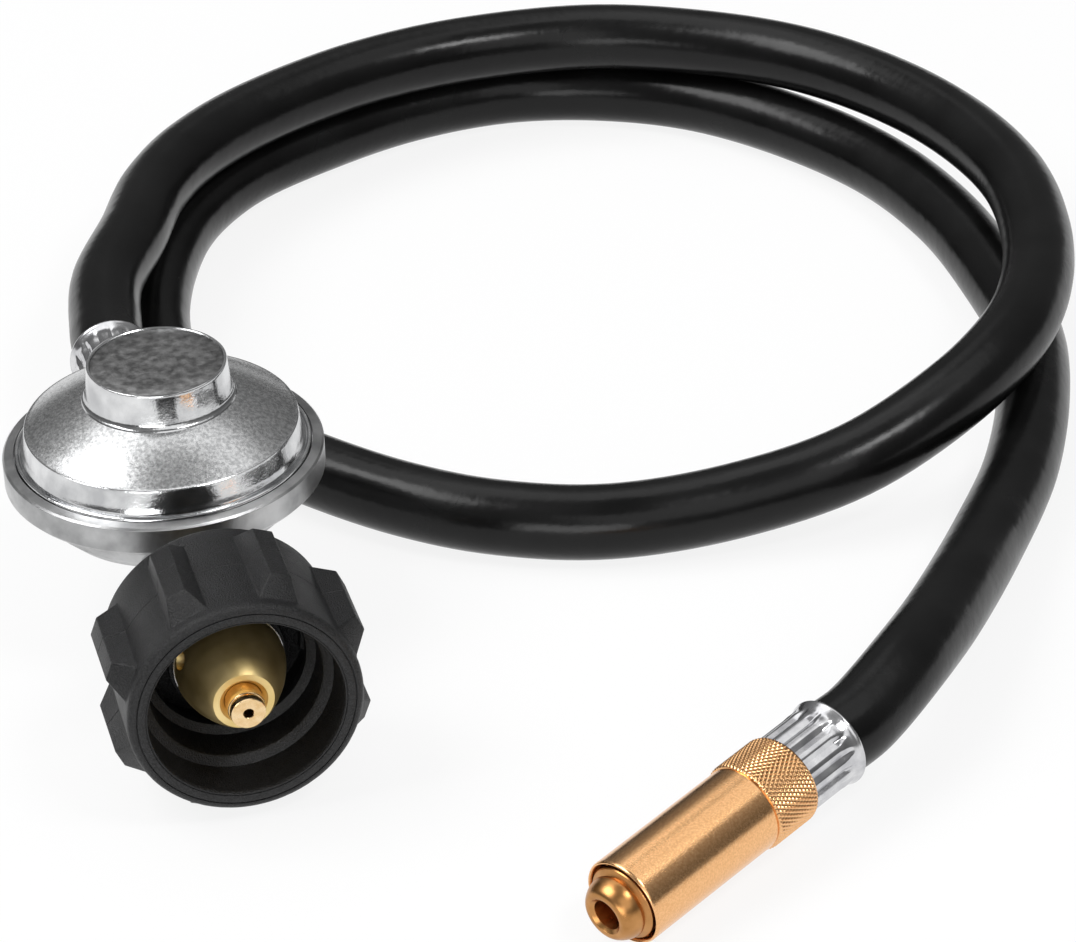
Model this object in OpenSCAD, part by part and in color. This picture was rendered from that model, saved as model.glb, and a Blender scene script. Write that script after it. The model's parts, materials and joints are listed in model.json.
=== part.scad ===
// Low pressure gas regulator with a hand nut inlet, about 1.2 m of rubber hose
// laid in two turns, and a straight union at the hose's far end.
// Millimetres. +Z is up, +Y runs from the hand nut towards the hose outlet.
// The gas line is the axis shared by hand nut, nipple, valve and outlet.

/* [Regulator housing] */
// diameter of the crimped rim
rim_d = 64.4; // [63:0.2:66.4]
// height of the tower's rim above the gas line
tower_top = 33.7; // [33:0.1:36]
// diameter of the tower at its top
tower_d = 27.8; // [27:0.2:29]
// reach of the inlet boss ahead of the regulator's axis
boss_reach = 38; // [37.2:0.2:38.6]

/* [Valve and diaphragm] */
// travel of the diaphragm from open to shut
stroke = 1.5; // [1:0.1:1.7]
// length of the lever's long arm
lever_arm = 9; // [8.6:0.1:9.4]
// outside diameter of the adjusting spring
spring_d = 16; // [15.4:0.1:16.6]
// thickness of the adjusting spring's wire
spring_wire = 1.2; // [1:0.05:1.3]
// turns in the adjusting spring
spring_turns = 6; // [5:0.5:7]
// bore of the inlet orifice
orifice_d = 2.2; // [1.6:0.1:2.6]

/* [Hand nut and nipple] */
// diameter over the hand nut's lugs
nut_d = 52.36; // [51.6:0.02:54]
// length of the hand nut
nut_len = 30.3; // [29.6:0.1:31]
// major diameter of the hand nut's thread
thread_d = 33.5; // [32.8:0.1:34]
// diameter of the nipple's bullet
bullet_d = 21.3; // [20.9:0.1:21.7]
// travel of the sprung probe in the nipple
probe_travel = 3; // [2:0.1:3.6]

/* [Hose] */
// outside diameter of the hose
hose_d = 15.8; // [15.4:0.1:15.8]
// bore of the hose, and diameter of the barbs in it
hose_bore = 9.5; // [9:0.1:9.8]
// diameter of a crimped ferrule over its flutes
ferrule_d = 16.8; // [16.6:0.1:16.8]
// diameter of a ferrule's flared mouth
flare_d = 18.1; // [17.6:0.1:18.6]

/* [Union] */
// diameter of the union nut's barrel
barrel_d = 17.3; // [17.2:0.1:17.6]
// length of the union nut
union_len = 44.4; // [44:0.1:45]
// reach of the nose past the union nut's rim
nose_reach = 4.8; // [4.2:0.1:5.4]
// gas bore of the nose
port_d = 6; // [5.4:0.1:6.4]
// travel of the union nut along its stem
union_travel = 6; // [4:0.2:7]

/* [Hidden] */
$fn = 64;

// lugs of the hand nut: eight, resting on two of them
lug_half = 4.4;
lug_turn = 1.5;
lug_r = nut_d / 2;
gas_h = lug_r * cos(22.5 - lug_half - lug_turn);

// stations on the gas line, measured ahead of the regulator's axis
nut_back = boss_reach + 8;
nut_front = nut_back + nut_len;
ring_front = nut_back + 13.2;
bullet_front = ring_front + 13.8;
probe_front = bullet_front + probe_travel + 1.3;

// stations on the gas line behind the regulator's axis
outlet_boss = 40;
ferrule_back = 42.5;
ferrule_len = 20.5;
ferrule_end = ferrule_back + ferrule_len;

// the row is centred between the probe's face and the outlet ferrule's mouth
mid_y = (probe_front - ferrule_end) / 2;

// housing heights above the gas line
rim_r = rim_d / 2;
cav_r = rim_r - 8.2;
clamp_z = 11.2;
skin = 0.8;
cavity_floor = 2.5;
screw_r = 10.6;
recess_r = tower_d / 2 - 0.6;
cap_seat = tower_top - 1.5;
screw_low = tower_top - 6.2;
plate_z = clamp_z + skin;
spring_low = plate_z + 1.2;
dome_z = 26;
vent_y = cav_r - 3;

// lever: pivot behind the axis, long arm to the stem, short arm to the poppet
pivot_y = lever_arm;
pivot_z = 5;
eye_z = 6.2;
short_arm = 4.4;
pin_r = 0.8;
poppet_r = 2.6;
nozzle_y = -5;
seat_y = nozzle_y + stroke * short_arm / lever_arm + 0.22;

// ferrules and hose
hose_r = hose_d / 2;
crimp_r = 7.35;
barb_r = hose_bore / 2;

// union: the nut's rim centre, 5 degrees nose down
tilt = 5;
heading = 211;
nose_dir = [cos(tilt) * cos(heading), cos(tilt) * sin(heading), -sin(tilt)];
rim_at = [56, -133.3, barrel_d / 2 * cos(tilt) + 0.02];
union_back = 37.6;
stop_at = -33.5 + union_travel;

zinc = [0.74, 0.75, 0.76];
steel = [0.8, 0.8, 0.82];
brass = [0.78, 0.6, 0.33];
nylon = [0.07, 0.07, 0.08];
rubber = [0.05, 0.05, 0.05];

// places a child at the regulator's axis, on the gas line
module at_reg() translate([0, mid_y, gas_h]) children();

// turns a child's +Z to point ahead, out of the inlet
module at_inlet() at_reg() rotate([90, 0, 0]) children();

// turns a child's +Z to point back, out of the outlet
module at_outlet() at_reg() rotate([-90, 0, 0]) children();

// turns a child's +Z to point out of the union's nose
module at_union() translate([rim_at[0], rim_at[1] + mid_y, rim_at[2]]) rotate([0, 90 + tilt, heading])
    children();

// a round wire wound about +Z from height z0 to z1
module coil(mean_r, wire_r, z0, z1, turns, per_turn, sides) {
    steps = floor(turns * per_turn);
    rise = z1 - z0 - 2 * wire_r;
    ring_pts = [for (i = [0:steps], k = [0:sides - 1])
        let (a = 360 * i / per_turn, b = 360 * k / sides, r = mean_r + wire_r * cos(b))
        [r * cos(a), r * sin(a), z0 + wire_r + rise * i / steps + wire_r * sin(b)]];
    walls = [for (i = [0:steps - 1], k = [0:sides - 1])
        let (a = i * sides + k, b = i * sides + (k + 1) % sides)
        [a, b, b + sides, a + sides]];
    polyhedron(points = ring_pts, faces = concat(walls,
        [[for (k = [sides - 1:-1:0]) k], [for (k = [0:sides - 1]) steps * sides + k]]),
        convexity = 10);
}

// die-cast bowl with the gas tunnel, both bosses, the crimped lip and the valve's guide
module lower_body() color(zinc) at_reg() difference() {
    union() {
        rotate_extrude($fn = 96) polygon([[0, -4.6], [12, -4.4], [17.5, -3.2], [cav_r - 1.6, -0.4],
            [cav_r + 1.4, 2.6], [cav_r + 2.9, 5.6], [cav_r + 3.4, 8], [rim_r - 1, 8.1],
            [rim_r, 9.2], [rim_r, 14.1], [rim_r - 0.4, 14.5], [rim_r - 2.2, 14.8],
            [rim_r - 2.2, 13.9], [rim_r - 1.6, 13.9], [rim_r - 1.6, clamp_z], [0, clamp_z]]);
        rotate([90, 0, 0]) cylinder(r = 9.5, h = 66, center = true);
        rotate([90, 0, 0]) translate([0, 0, 24]) cylinder(r = 10.5, h = boss_reach - 24);
        rotate([-90, 0, 0]) translate([0, 0, 24]) cylinder(r = 8, h = outlet_boss - 24);
    }
    difference() {
        rotate_extrude($fn = 96) polygon([[0, cavity_floor], [cav_r - 4, cavity_floor],
            [cav_r - 1.2, 4], [cav_r, 6.6], [cav_r, clamp_z + 0.5], [0, clamp_z + 0.5]]);
        rotate([90, 0, 0]) translate([0, 0, 7.6]) cylinder(r = 6, h = 20);
        translate([-5, -1.5, 0]) cube([10, 14.4, 4]);
        for (s = [-1, 1]) translate([s > 0 ? 1.7 : -4.2, pivot_y - 2, 0]) cube([2.5, 4, 7]);
    }
    // space between the crimped lip and the clamping face
    difference() {
        translate([0, 0, clamp_z]) cylinder(r = rim_r - 1.6, h = 2.7, $fn = 96);
        translate([0, 0, clamp_z - 1]) cylinder(r = cav_r - 1, h = 0.5);
    }
    // nipple socket, gas passage and valve chamber
    rotate([90, 0, 0]) translate([0, 0, 28]) cylinder(r = 6.8, h = 20);
    rotate([90, 0, 0]) translate([0, 0, 1.5]) cylinder(r = 4, h = 30);
    // poppet guide
    rotate([-90, 0, 0]) translate([0, 0, -2]) cylinder(r = poppet_r + 0.05, h = 14.9);
    // lever slot and pin hole
    translate([-1.7, pivot_y - 2.2, -0.2]) cube([3.4, 4.4, 9]);
    translate([-6, pivot_y, pivot_z]) rotate([0, 90, 0]) cylinder(r = pin_r - 0.02, h = 12, $fn = 24);
    // outlet passage and barb socket
    rotate([-90, 0, 0]) translate([0, 0, 16]) cylinder(r = 3.5, h = 20);
    rotate([-90, 0, 0]) translate([0, 0, 30]) cylinder(r = 5.5, h = 12);
}

// outline of the cover's outer face from flange to tower
function dome_line() = [for (i = [0:6])
    let (t = i / 6, r = rim_r - 5.2 - t * (rim_r - 5.2 - 16.2))
    [r, 20.4 + (dome_z - 20.4) * (t * 1.25 - 0.25 * t * t)]];

// domed cover with stepped rings, a plain dome, the spring tower and the vent boss
module cover() color(zinc) at_reg() difference() {
    union() {
        rotate_extrude($fn = 96) polygon(concat([[cav_r + 0.3, plate_z], [rim_r - 1.65, plate_z],
            [rim_r - 1.65, 13.85], [rim_r - 2.45, 13.85], [rim_r - 2.45, 14.9], [rim_r - 2.7, 15.2],
            [rim_r - 3.2, 15.2], [rim_r - 3.4, 14.95], [rim_r - 3.6, 14.95], [rim_r - 3.65, 15.75],
            [rim_r - 3.9, 16.3], [rim_r - 4.65, 19.9], [rim_r - 4.85, 20.3]],
            dome_line(),
            [[15.2, 26.35], [tower_d / 2 + 0.9, 26.9], [tower_d / 2 + 0.1, tower_top - 0.3],
            [tower_d / 2 - 0.15, tower_top], [recess_r, tower_top], [recess_r, cap_seat],
            [screw_r, cap_seat], [screw_r, 23.2], [11.4, 22.6], [15.5, 22.4], [rim_r - 8.4, 18.6],
            [rim_r - 7, 17.2], [cav_r + 0.3, 13.2]]));
        translate([0, vent_y, 21.5]) cylinder(r = 3.2, h = 5);
    }
    translate([0, vent_y, 15]) cylinder(r = 1.5, h = 15);
    translate([0, vent_y, 25.7]) cylinder(r = 2.2, h = 3);
}

// rough steel disc that seals the tower over the adjusting screw
module cap_disc() color(steel) at_reg() translate([0, 0, cap_seat]) cylinder(r = recess_r, h = 1.2, $fn = 96);

// threaded plug that sets the spring's load, with a driver slot above and a pilot below
module adjusting_screw() color(brass) at_reg() difference() {
    union() {
        translate([0, 0, screw_low]) cylinder(r = screw_r + 0.05, h = 3.2);
        translate([0, 0, screw_low - 1.6]) cylinder(r = spring_d / 2 - spring_wire - 0.5, h = 2);
    }
    translate([-7, -1, screw_low + 1.8]) cube([14, 2, 3]);
    translate([0, 0, screw_low - 3]) cylinder(r = 2.2, h = 8, $fn = 32);
}

// coil spring between the diaphragm plate and the adjusting screw
module adjusting_spring() color(steel) at_reg() coil(mean_r = (spring_d - spring_wire) / 2,
    wire_r = spring_wire / 2, z0 = spring_low, z1 = screw_low, turns = spring_turns,
    per_turn = 16, sides = 6);

// rubber diaphragm clamped at its edge, with one raised roll
module diaphragm() color(rubber) at_reg() rotate_extrude($fn = 64) polygon(concat(
    [[2, clamp_z], [cav_r - 3.9, clamp_z]],
    [for (a = [180:-30:0]) [cav_r - 2.1 + 1.15 * cos(a), clamp_z + 0.3 + 1.15 * sin(a)]],
    [[cav_r - 0.3, clamp_z], [rim_r - 1.7, clamp_z], [rim_r - 1.7, plate_z]],
    [for (a = [0:30:180]) [cav_r - 2.1 + 1.95 * cos(a), plate_z + 1.95 * sin(a)]],
    [[2, plate_z]]));

// stiff plate that spreads the spring's load, with a collar inside the spring
module diaphragm_plate() color(steel) at_reg() difference() {
    union() {
        translate([0, 0, plate_z]) cylinder(r = cav_r - 4.6, h = 1.2);
        translate([0, 0, plate_z]) cylinder(r = spring_d / 2 - spring_wire - 0.3, h = 2.6);
    }
    translate([0, 0, plate_z - 1]) cylinder(r = 2, h = 6, $fn = 32);
}

// stem under the diaphragm with a window for the lever's eye and a riveted top
module diaphragm_stem() color(brass) at_reg() difference() {
    union() {
        translate([-3.5, -2.2, 4.25]) cube([7, 4.4, 6]);
        translate([0, 0, clamp_z - 1.2]) cylinder(r = 6, h = 1.2);
        translate([0, 0, clamp_z - 0.1]) cylinder(r = 2, h = 3.6, $fn = 32);
        translate([0, 0, plate_z + 2.6]) cylinder(r = 3.2, h = 0.7, $fn = 32);
    }
    translate([-1.8, -3, eye_z - 1.3]) cube([3.6, 6, 2.6]);
}

// bell-crank lever: eye on the pin, long arm in the stem, short arm in the poppet
module lever() color(steel) at_reg() difference() {
    union() {
        translate([-1.5, pivot_y, pivot_z]) rotate([0, 90, 0]) cylinder(r = 1.9, h = 3, $fn = 32);
        translate([-1.5, 0, eye_z]) rotate([0, 90, 0]) cylinder(r = 1.1, h = 3, $fn = 32);
        translate([-1.5, pivot_y, pivot_z - short_arm]) rotate([0, 90, 0])
            cylinder(r = 0.9, h = 3, $fn = 32);
        translate([-1.5, 0, 0]) rotate([90, 0, 90]) linear_extrude(3) polygon([[0, eye_z - 0.7],
            [pivot_y, pivot_z - 0.5], [pivot_y, pivot_z + 1.2], [0, eye_z + 0.7]]);
        translate([-1.5, pivot_y - 0.7, pivot_z - short_arm]) cube([3, 1.4, short_arm]);
    }
    translate([-3, pivot_y, pivot_z]) rotate([0, 90, 0]) cylinder(r = pin_r + 0.05, h = 6, $fn = 24);
}

// pin pressed through the two ears
module lever_pin() color(steel) at_reg() translate([-4.2, pivot_y, pivot_z]) rotate([0, 90, 0])
    cylinder(r = pin_r, h = 8.4, $fn = 24);

// poppet that slides in its guide, notched for the lever
module valve_poppet() color(brass) at_reg() difference() {
    rotate([-90, 0, 0]) translate([0, 0, seat_y + 0.05]) cylinder(r = poppet_r, h = 15, $fn = 48);
    rotate([-90, 0, 0]) translate([0, 0, seat_y - 1]) cylinder(r = 2, h = 2.5, $fn = 48);
    translate([-4, pivot_y - 1, pivot_z - short_arm - 1.1]) cube([8, 2, 6]);
}

// rubber disc in the poppet's face that shuts the orifice
module seat_disc() color(rubber) at_reg() rotate([-90, 0, 0]) translate([0, 0, seat_y])
    cylinder(r = 2, h = 1.5, $fn = 48);

// brass orifice pressed in the gas passage, its nozzle facing the poppet
module inlet_orifice() color(brass) at_inlet() difference() {
    union() {
        translate([0, 0, 7.6]) cylinder(r = 4.05, h = 7);
        translate([0, 0, -nozzle_y]) cylinder(r1 = 1.9, r2 = 2.5, h = 2.7, $fn = 48);
    }
    translate([0, 0, 2]) cylinder(d = orifice_d, h = 14, $fn = 32);
    translate([0, 0, 11]) cylinder(r1 = orifice_d / 2, r2 = 3.2, h = 3.7, $fn = 48);
}

// pierced disc that keeps insects out of the vent
module vent_screen() color(steel) at_reg() translate([0, vent_y, 25.7]) difference() {
    cylinder(r = 2.2, h = 0.4, $fn = 32);
    for (k = [0:5]) rotate([0, 0, 60 * k]) translate([1.1, 0, -1]) cylinder(r = 0.35, h = 3, $fn = 16);
    translate([0, 0, -1]) cylinder(r = 0.35, h = 3, $fn = 16);
}

// brass nipple: pressed shank, hexagon, the hand nut's neck and the sealing bullet
module inlet_nipple() color(brass) at_inlet() difference() {
    union() {
        translate([0, 0, 28.5]) cylinder(r = 6.85, h = boss_reach - 28);
        translate([0, 0, boss_reach]) cylinder(r = 9.8, h = nut_back - 0.3 - boss_reach, $fn = 6);
        translate([0, 0, boss_reach + 2]) cylinder(r = 8.5, h = ring_front - boss_reach - 1);
        rotate_extrude($fn = 96) polygon([[0, ring_front], [bullet_d / 2, ring_front],
            [bullet_d / 2, ring_front + 2.3], [bullet_d / 2 - 0.25, ring_front + 3.6],
            [bullet_d / 2 - 0.6, ring_front + 5], [bullet_d / 2 - 1.2, ring_front + 6.9],
            [bullet_d / 2 - 2.05, ring_front + 8.9], [bullet_d / 2 - 2.95, ring_front + 10.8],
            [bullet_d / 2 - 3.75, ring_front + 12.3], [bullet_d / 2 - 4.35, ring_front + 13.3],
            [bullet_d / 2 - 4.75, bullet_front], [0, bullet_front]]);
    }
    translate([0, 0, 26]) cylinder(r = 3, h = 40);
    translate([0, 0, ring_front - 3.2]) cylinder(r = 4.8, h = 14.5);
    translate([0, 0, ring_front + 10]) cylinder(r = 3.68, h = 8);
    translate([0, 0, bullet_front - 1]) cylinder(r1 = 3.66, r2 = 4.7, h = 1.04);
    for (a = [158, 338]) rotate([0, 0, a]) translate([7.9, 0, ring_front + 2.6]) rotate([0, 90, 0])
        cylinder(r = 1.8, h = 6, $fn = 32);
}

// steel ring behind the bullet that the hand nut pulls on
module nut_retaining_ring() color(steel) at_inlet() difference() {
    translate([0, 0, ring_front - 1]) cylinder(r = bullet_d / 2 + 0.25, h = 1, $fn = 96);
    translate([0, 0, ring_front - 2]) cylinder(r = 8.5, h = 3);
}

// sprung probe in the bullet's nose that is pushed back by the cylinder valve
module probe_tip() color(brass) at_inlet() difference() {
    union() {
        translate([0, 0, ring_front + 6.8]) cylinder(r = 3.6, h = probe_front - ring_front - 8.5);
        translate([0, 0, probe_front - 2]) cylinder(r = 3.1, h = 1.2, $fn = 48);
        translate([0, 0, probe_front - 1.2]) cylinder(r1 = 3.5, r2 = 3.3, h = 1.2, $fn = 48);
        translate([0, 0, ring_front + 6.8]) cylinder(r = 4.75, h = 4.5);
        translate([0, 0, ring_front + 3.9]) cylinder(r = 2.6, h = 3, $fn = 48);
    }
    translate([0, 0, ring_front]) cylinder(r = 1, h = 30, $fn = 24);
}

// light spring behind the probe's collar
module probe_spring() color(steel) at_inlet() coil(mean_r = 3.9, wire_r = 0.35,
    z0 = ring_front - 3.2, z1 = ring_front + 6.8, turns = 6, per_turn = 12, sides = 5);

// one lug of the hand nut, foot sunk in the body, sloped at both ends
module lug() {
    a = lug_half;
    f = 11.6;
    fr = 21.74;
    z0 = nut_back + 3.5;
    z1 = nut_back + 7.1;
    z2 = nut_front - 7.05;
    z3 = nut_front - 2.25;
    polyhedron(points = [
        [fr * cos(f), -fr * sin(f), z0], [lug_r * cos(a), -lug_r * sin(a), z1],
        [lug_r * cos(a), lug_r * sin(a), z1], [fr * cos(f), fr * sin(f), z0],
        [fr * cos(f), -fr * sin(f), z3], [lug_r * cos(a), -lug_r * sin(a), z2],
        [lug_r * cos(a), lug_r * sin(a), z2], [fr * cos(f), fr * sin(f), z3]],
        faces = [[0, 1, 2, 3], [4, 5, 1, 0], [5, 6, 2, 1], [6, 7, 3, 2], [7, 6, 5, 4],
        [0, 3, 7, 4]]);
}

// black hand nut with eight lugs, turning on the nipple's neck
module hand_nut() color(nylon) at_inlet() difference() {
    union() {
        rotate_extrude($fn = 96) polygon([[0, nut_back], [21.5, nut_back], [22.1, nut_back + 0.6],
            [22.3, nut_back + 4], [22.75, nut_front - 2.2], [22.7, nut_front - 1.2],
            [22.4, nut_front - 0.4], [21.9, nut_front], [0, nut_front]]);
        for (k = [0:7]) rotate([0, 0, 112.5 + lug_turn + 45 * k]) lug();
    }
    difference() {
        rotate_extrude($fn = 96) polygon([[0, nut_back + 4], [thread_d / 2, nut_back + 4],
            [thread_d / 2, nut_front - 10.2], [18.8, nut_front - 9.3], [19, nut_front - 1.1],
            [19.7, nut_front], [19.7, nut_front + 1], [0, nut_front + 1]]);
        translate([0, 0, nut_back]) cylinder(r = 11.5, h = 11.9);
    }
    translate([0, 0, nut_back - 1]) cylinder(r = 8.55, h = 20);
}

// brass hose barb pressed in the outlet boss
module outlet_barb() color(brass) at_outlet() difference() {
    union() {
        translate([0, 0, 30.2]) cylinder(r = 5.55, h = 10);
        translate([0, 0, outlet_boss]) cylinder(r = 7.4, h = ferrule_back - outlet_boss);
        translate([0, 0, ferrule_back - 0.5]) cylinder(r = barb_r, h = ferrule_len - 2);
        for (k = [0:2]) translate([0, 0, ferrule_back + 5 + 4.5 * k])
            cylinder(r1 = barb_r + 0.35, r2 = barb_r, h = 2.5);
    }
    translate([0, 0, 28]) cylinder(r = 3.2, h = 40);
}

// crimped steel ferrule along +Z, closed end at 0, flared mouth at its length
module ferrule_shape() difference() {
    r = ferrule_d / 2;
    rotate_extrude($fn = 96) polygon([[barb_r, 0], [r - 1, 0], [r - 0.3, 0.8], [r, 1.6],
        [r, ferrule_len - 4], [flare_d / 2 - 0.25, ferrule_len - 1.6], [flare_d / 2, ferrule_len - 0.6],
        [flare_d / 2 - 0.1, ferrule_len], [hose_r + 0.4, ferrule_len],
        [crimp_r - 0.05, ferrule_len - 3.6], [crimp_r - 0.05, 1.5], [barb_r, 1.5]]);
    for (k = [0:15]) rotate([0, 0, 22.5 * k]) translate([r + 0.5, 0, -1])
        cylinder(r = 1, h = ferrule_len - 2.6, $fn = 24);
}

// ferrule crimped on the hose at the regulator
module outlet_ferrule() color(steel) at_outlet() translate([0, 0, ferrule_back]) ferrule_shape();

// ferrule crimped on the hose at the union
module end_ferrule() color(steel) at_union() translate([0, 0, -union_back]) rotate([180, 0, 0])
    ferrule_shape();

// a point on the union's axis, d behind the rim of its nut
function behind(d) = rim_at - d * nose_dir;

// centreline of the hose from the regulator's axis: out of the outlet, round twice, to the union
hi = 1.5 * hose_d + 0.2;
lo = hose_r;
way = [[0, ferrule_back + 1.5, gas_h], [0, ferrule_end - 3.6, gas_h], [0, ferrule_end + 0.6, gas_h],
    [1, 75, gas_h], [5, 95.5, gas_h], [15, 117.5, hi + 0.7], [23.5, 137.5, hi + 0.1],
    [36, 154.5, hi], [54.5, 169, hi], [81.5, 181.5, hi], [109, 186.5, hi], [139.5, 184, hi],
    [164, 173, hi], [184.5, 157, hi], [199.5, 135.5, hi], [209, 111, hi], [212.5, 84.5, hi],
    [209, 59.5, hi], [200.5, 35.5, hi], [187, 14.5, hi - 0.3], [167.5, -1, hi - 3.4],
    [142.5, -10, lo + 6.6], [116, -10, lo + 1.7], [90.5, -7, lo], [69, 1.5, lo], [51.5, 15, lo],
    [35.5, 33.5, lo], [22, 53.5, lo], [15.5, 77, lo], [16, 102.5, lo], [22.5, 128, lo],
    [33.5, 151.5, lo], [50.5, 170, lo], [72.5, 182, lo], [96.5, 190.5, lo], [121.5, 192.5, lo],
    [145, 186, lo], [166, 172.5, lo], [183.5, 150.5, lo], [196, 125, lo], [202, 96.5, lo],
    [202.5, 67, lo], [200, 38.5, lo], [191.5, 13, lo], [178.5, -13.5, lo], [162, -38.5, lo + 1.1],
    [142.5, -67, lo + 5.4], [127, -86.5, lo + 8], behind(68), behind(58.7), behind(54.5),
    behind(union_back + 1.5)];
last = len(way) - 1;
sides = 12;

// the hose is thinner where a ferrule crimps it
function hose_at(i) = i < 2 || i > last - 2 ? crimp_r : hose_r;
function along(i) = way[min(i + 1, last)] - way[max(i - 1, 0)];
function unit(v) = v / norm(v);

// black rubber hose, one swept body with a socket at each end for its barb
module hose() color(rubber) difference() {
    translate([0, mid_y, 0]) polyhedron(
        points = [for (i = [0:last], k = [0:sides - 1])
            let (t = unit(along(i)), s = unit(cross([0, 0, 1], t)), u = cross(t, s),
                a = 360 * k / sides + 90)
            way[i] + hose_at(i) * (cos(a) * s + sin(a) * u)],
        faces = concat([for (i = [0:last - 1], k = [0:sides - 1])
            let (a = i * sides + k, b = i * sides + (k + 1) % sides) each
            [[a, b, b + sides], [a, b + sides, a + sides]]],
            [[for (k = [sides - 1:-1:0]) k], [for (k = [0:sides - 1]) last * sides + k]]),
        convexity = 10);
    at_outlet() translate([0, 0, ferrule_back]) cylinder(r = barb_r, h = ferrule_len - 2.5);
    at_union() translate([0, 0, -union_back - ferrule_len + 2.5])
        cylinder(r = barb_r, h = ferrule_len - 2.5);
}

// stem of the union: hose barb, neck, stop collar, seal groove and rounded nose
module end_stem() color(brass) at_union() difference() {
    union() {
        translate([0, 0, -union_back - ferrule_len + 2.5]) cylinder(r = barb_r, h = ferrule_len - 2.4);
        for (k = [0:2]) translate([0, 0, -union_back - 8.5 - 4 * k])
            cylinder(r1 = barb_r, r2 = barb_r + 0.35, h = 2.5);
        translate([0, 0, -union_back]) cylinder(r = 5, h = union_back - 10);
        translate([0, 0, stop_at]) cylinder(r = 7, h = 2);
        rotate_extrude($fn = 64) polygon([[0, -26], [6.2, -26], [6.2, -4.6], [6.6, -4.2], [6.6, -2.8],
            [5.5, -2.8], [5.5, -1.2], [6.6, -1.2], [6.6, 0.2], [6.2, 0.5], [6.2, 0.9], [6.4, 1.2],
            [6.3, nose_reach - 3], [5.9, nose_reach - 1.6], [5.3, nose_reach - 0.6],
            [4.7, nose_reach - 0.1], [4.3, nose_reach], [0, nose_reach]]);
    }
    translate([0, 0, -70]) cylinder(d = port_d, h = 80);
    translate([0, 0, nose_reach - 0.6]) cylinder(r1 = port_d / 2, r2 = port_d / 2 + 0.66, h = 0.66);
}

// rubber ring in the nose's groove
module nose_seal() color(rubber) at_union() translate([0, 0, -2]) rotate_extrude($fn = 48)
    translate([6.25, 0]) circle(r = 0.75, $fn = 20);

// split ring that carries the union nut along the stem's neck
module union_snap_ring() color(steel) at_union() translate([0, 0, -36]) difference() {
    cylinder(r = 8.15, h = 1, $fn = 96);
    translate([0, 0, -1]) cylinder(r = 5.05, h = 3);
}

// brass union nut with a knurled grip ring at its back
module union_nut() color(brass) at_union() difference() {
    b = barrel_d / 2;
    rotate_extrude($fn = 96) polygon([[0, -union_len], [b + 0.15, -union_len], [b + 0.5, -union_len + 0.35],
        [b + 0.5, -33.6], [b + 0.15, -33.3], [b, -33.3], [b, -0.35], [b - 0.3, 0], [0, 0]]);
    translate([0, 0, -union_len - 1]) cylinder(r = 8.45, h = union_len + 1 - 37.1, $fn = 96);
    translate([0, 0, -union_len]) cylinder(r = 7.85, h = union_len + 2, $fn = 96);
    translate([0, 0, -36.05]) cylinder(r = 8.2, h = 1.1, $fn = 96);
    translate([0, 0, -0.35]) cylinder(r1 = 7.85, r2 = 8.25, h = 0.4, $fn = 96);
}

lower_body();
cover();
cap_disc();
adjusting_screw();
adjusting_spring();
diaphragm();
diaphragm_plate();
diaphragm_stem();
lever();
lever_pin();
valve_poppet();
seat_disc();
inlet_orifice();
vent_screen();
inlet_nipple();
nut_retaining_ring();
probe_tip();
probe_spring();
hand_nut();
outlet_barb();
outlet_ferrule();
hose();
end_ferrule();
end_stem();
nose_seal();
union_nut();
union_snap_ring();
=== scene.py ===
import json
import math

import bmesh
import bpy
from mathutils import Matrix, Vector


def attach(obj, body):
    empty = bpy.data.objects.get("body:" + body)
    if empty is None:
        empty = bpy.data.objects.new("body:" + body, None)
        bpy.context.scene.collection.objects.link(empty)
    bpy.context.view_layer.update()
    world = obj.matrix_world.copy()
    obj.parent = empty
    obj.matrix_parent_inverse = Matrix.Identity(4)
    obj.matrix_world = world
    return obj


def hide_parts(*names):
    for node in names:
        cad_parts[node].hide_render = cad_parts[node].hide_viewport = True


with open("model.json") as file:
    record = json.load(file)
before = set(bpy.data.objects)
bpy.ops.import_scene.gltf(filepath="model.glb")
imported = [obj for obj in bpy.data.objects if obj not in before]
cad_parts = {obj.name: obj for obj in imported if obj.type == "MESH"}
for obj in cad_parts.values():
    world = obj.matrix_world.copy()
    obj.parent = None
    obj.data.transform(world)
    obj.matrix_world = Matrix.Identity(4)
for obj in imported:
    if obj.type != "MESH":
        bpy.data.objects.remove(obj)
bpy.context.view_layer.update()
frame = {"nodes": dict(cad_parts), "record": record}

# ---- Studio ------------------------------------------------------------------------------------
# White board under seven soft boxes, the main one high on the left. A dark canopy, for reflections
# only, keeps the contrast of polished metal.
scene = bpy.context.scene
scene.view_settings.view_transform = "Standard"

SENSOR_MM, FRAME_PX, FOCAL_PX = 36, 1076, 4267
view = bpy.data.cameras.new("view")
view.sensor_width = SENSOR_MM
view.lens = FOCAL_PX / FRAME_PX * SENSOR_MM
view.clip_end = 20
view_ob = bpy.data.objects.new("view", view)
view_ob.location = (-0.109935, -0.720813, 0.479063)
view_ob.rotation_euler = (math.radians(58.4911), math.radians(1.6106), math.radians(-15.4041))
scene.collection.objects.link(view_ob)
scene.camera = view_ob


def softbox(name, place, aim, size, power):
    lamp = bpy.data.lights.new(name, "AREA")
    lamp.shape = "RECTANGLE"
    lamp.size, lamp.size_y = size
    lamp.energy = power
    ob = bpy.data.objects.new(name, lamp)
    ob.location = place
    ob.rotation_euler = (Vector(aim) - Vector(place)).to_track_quat("-Z", "Y").to_euler()
    scene.collection.objects.link(ob)
    return ob


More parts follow.
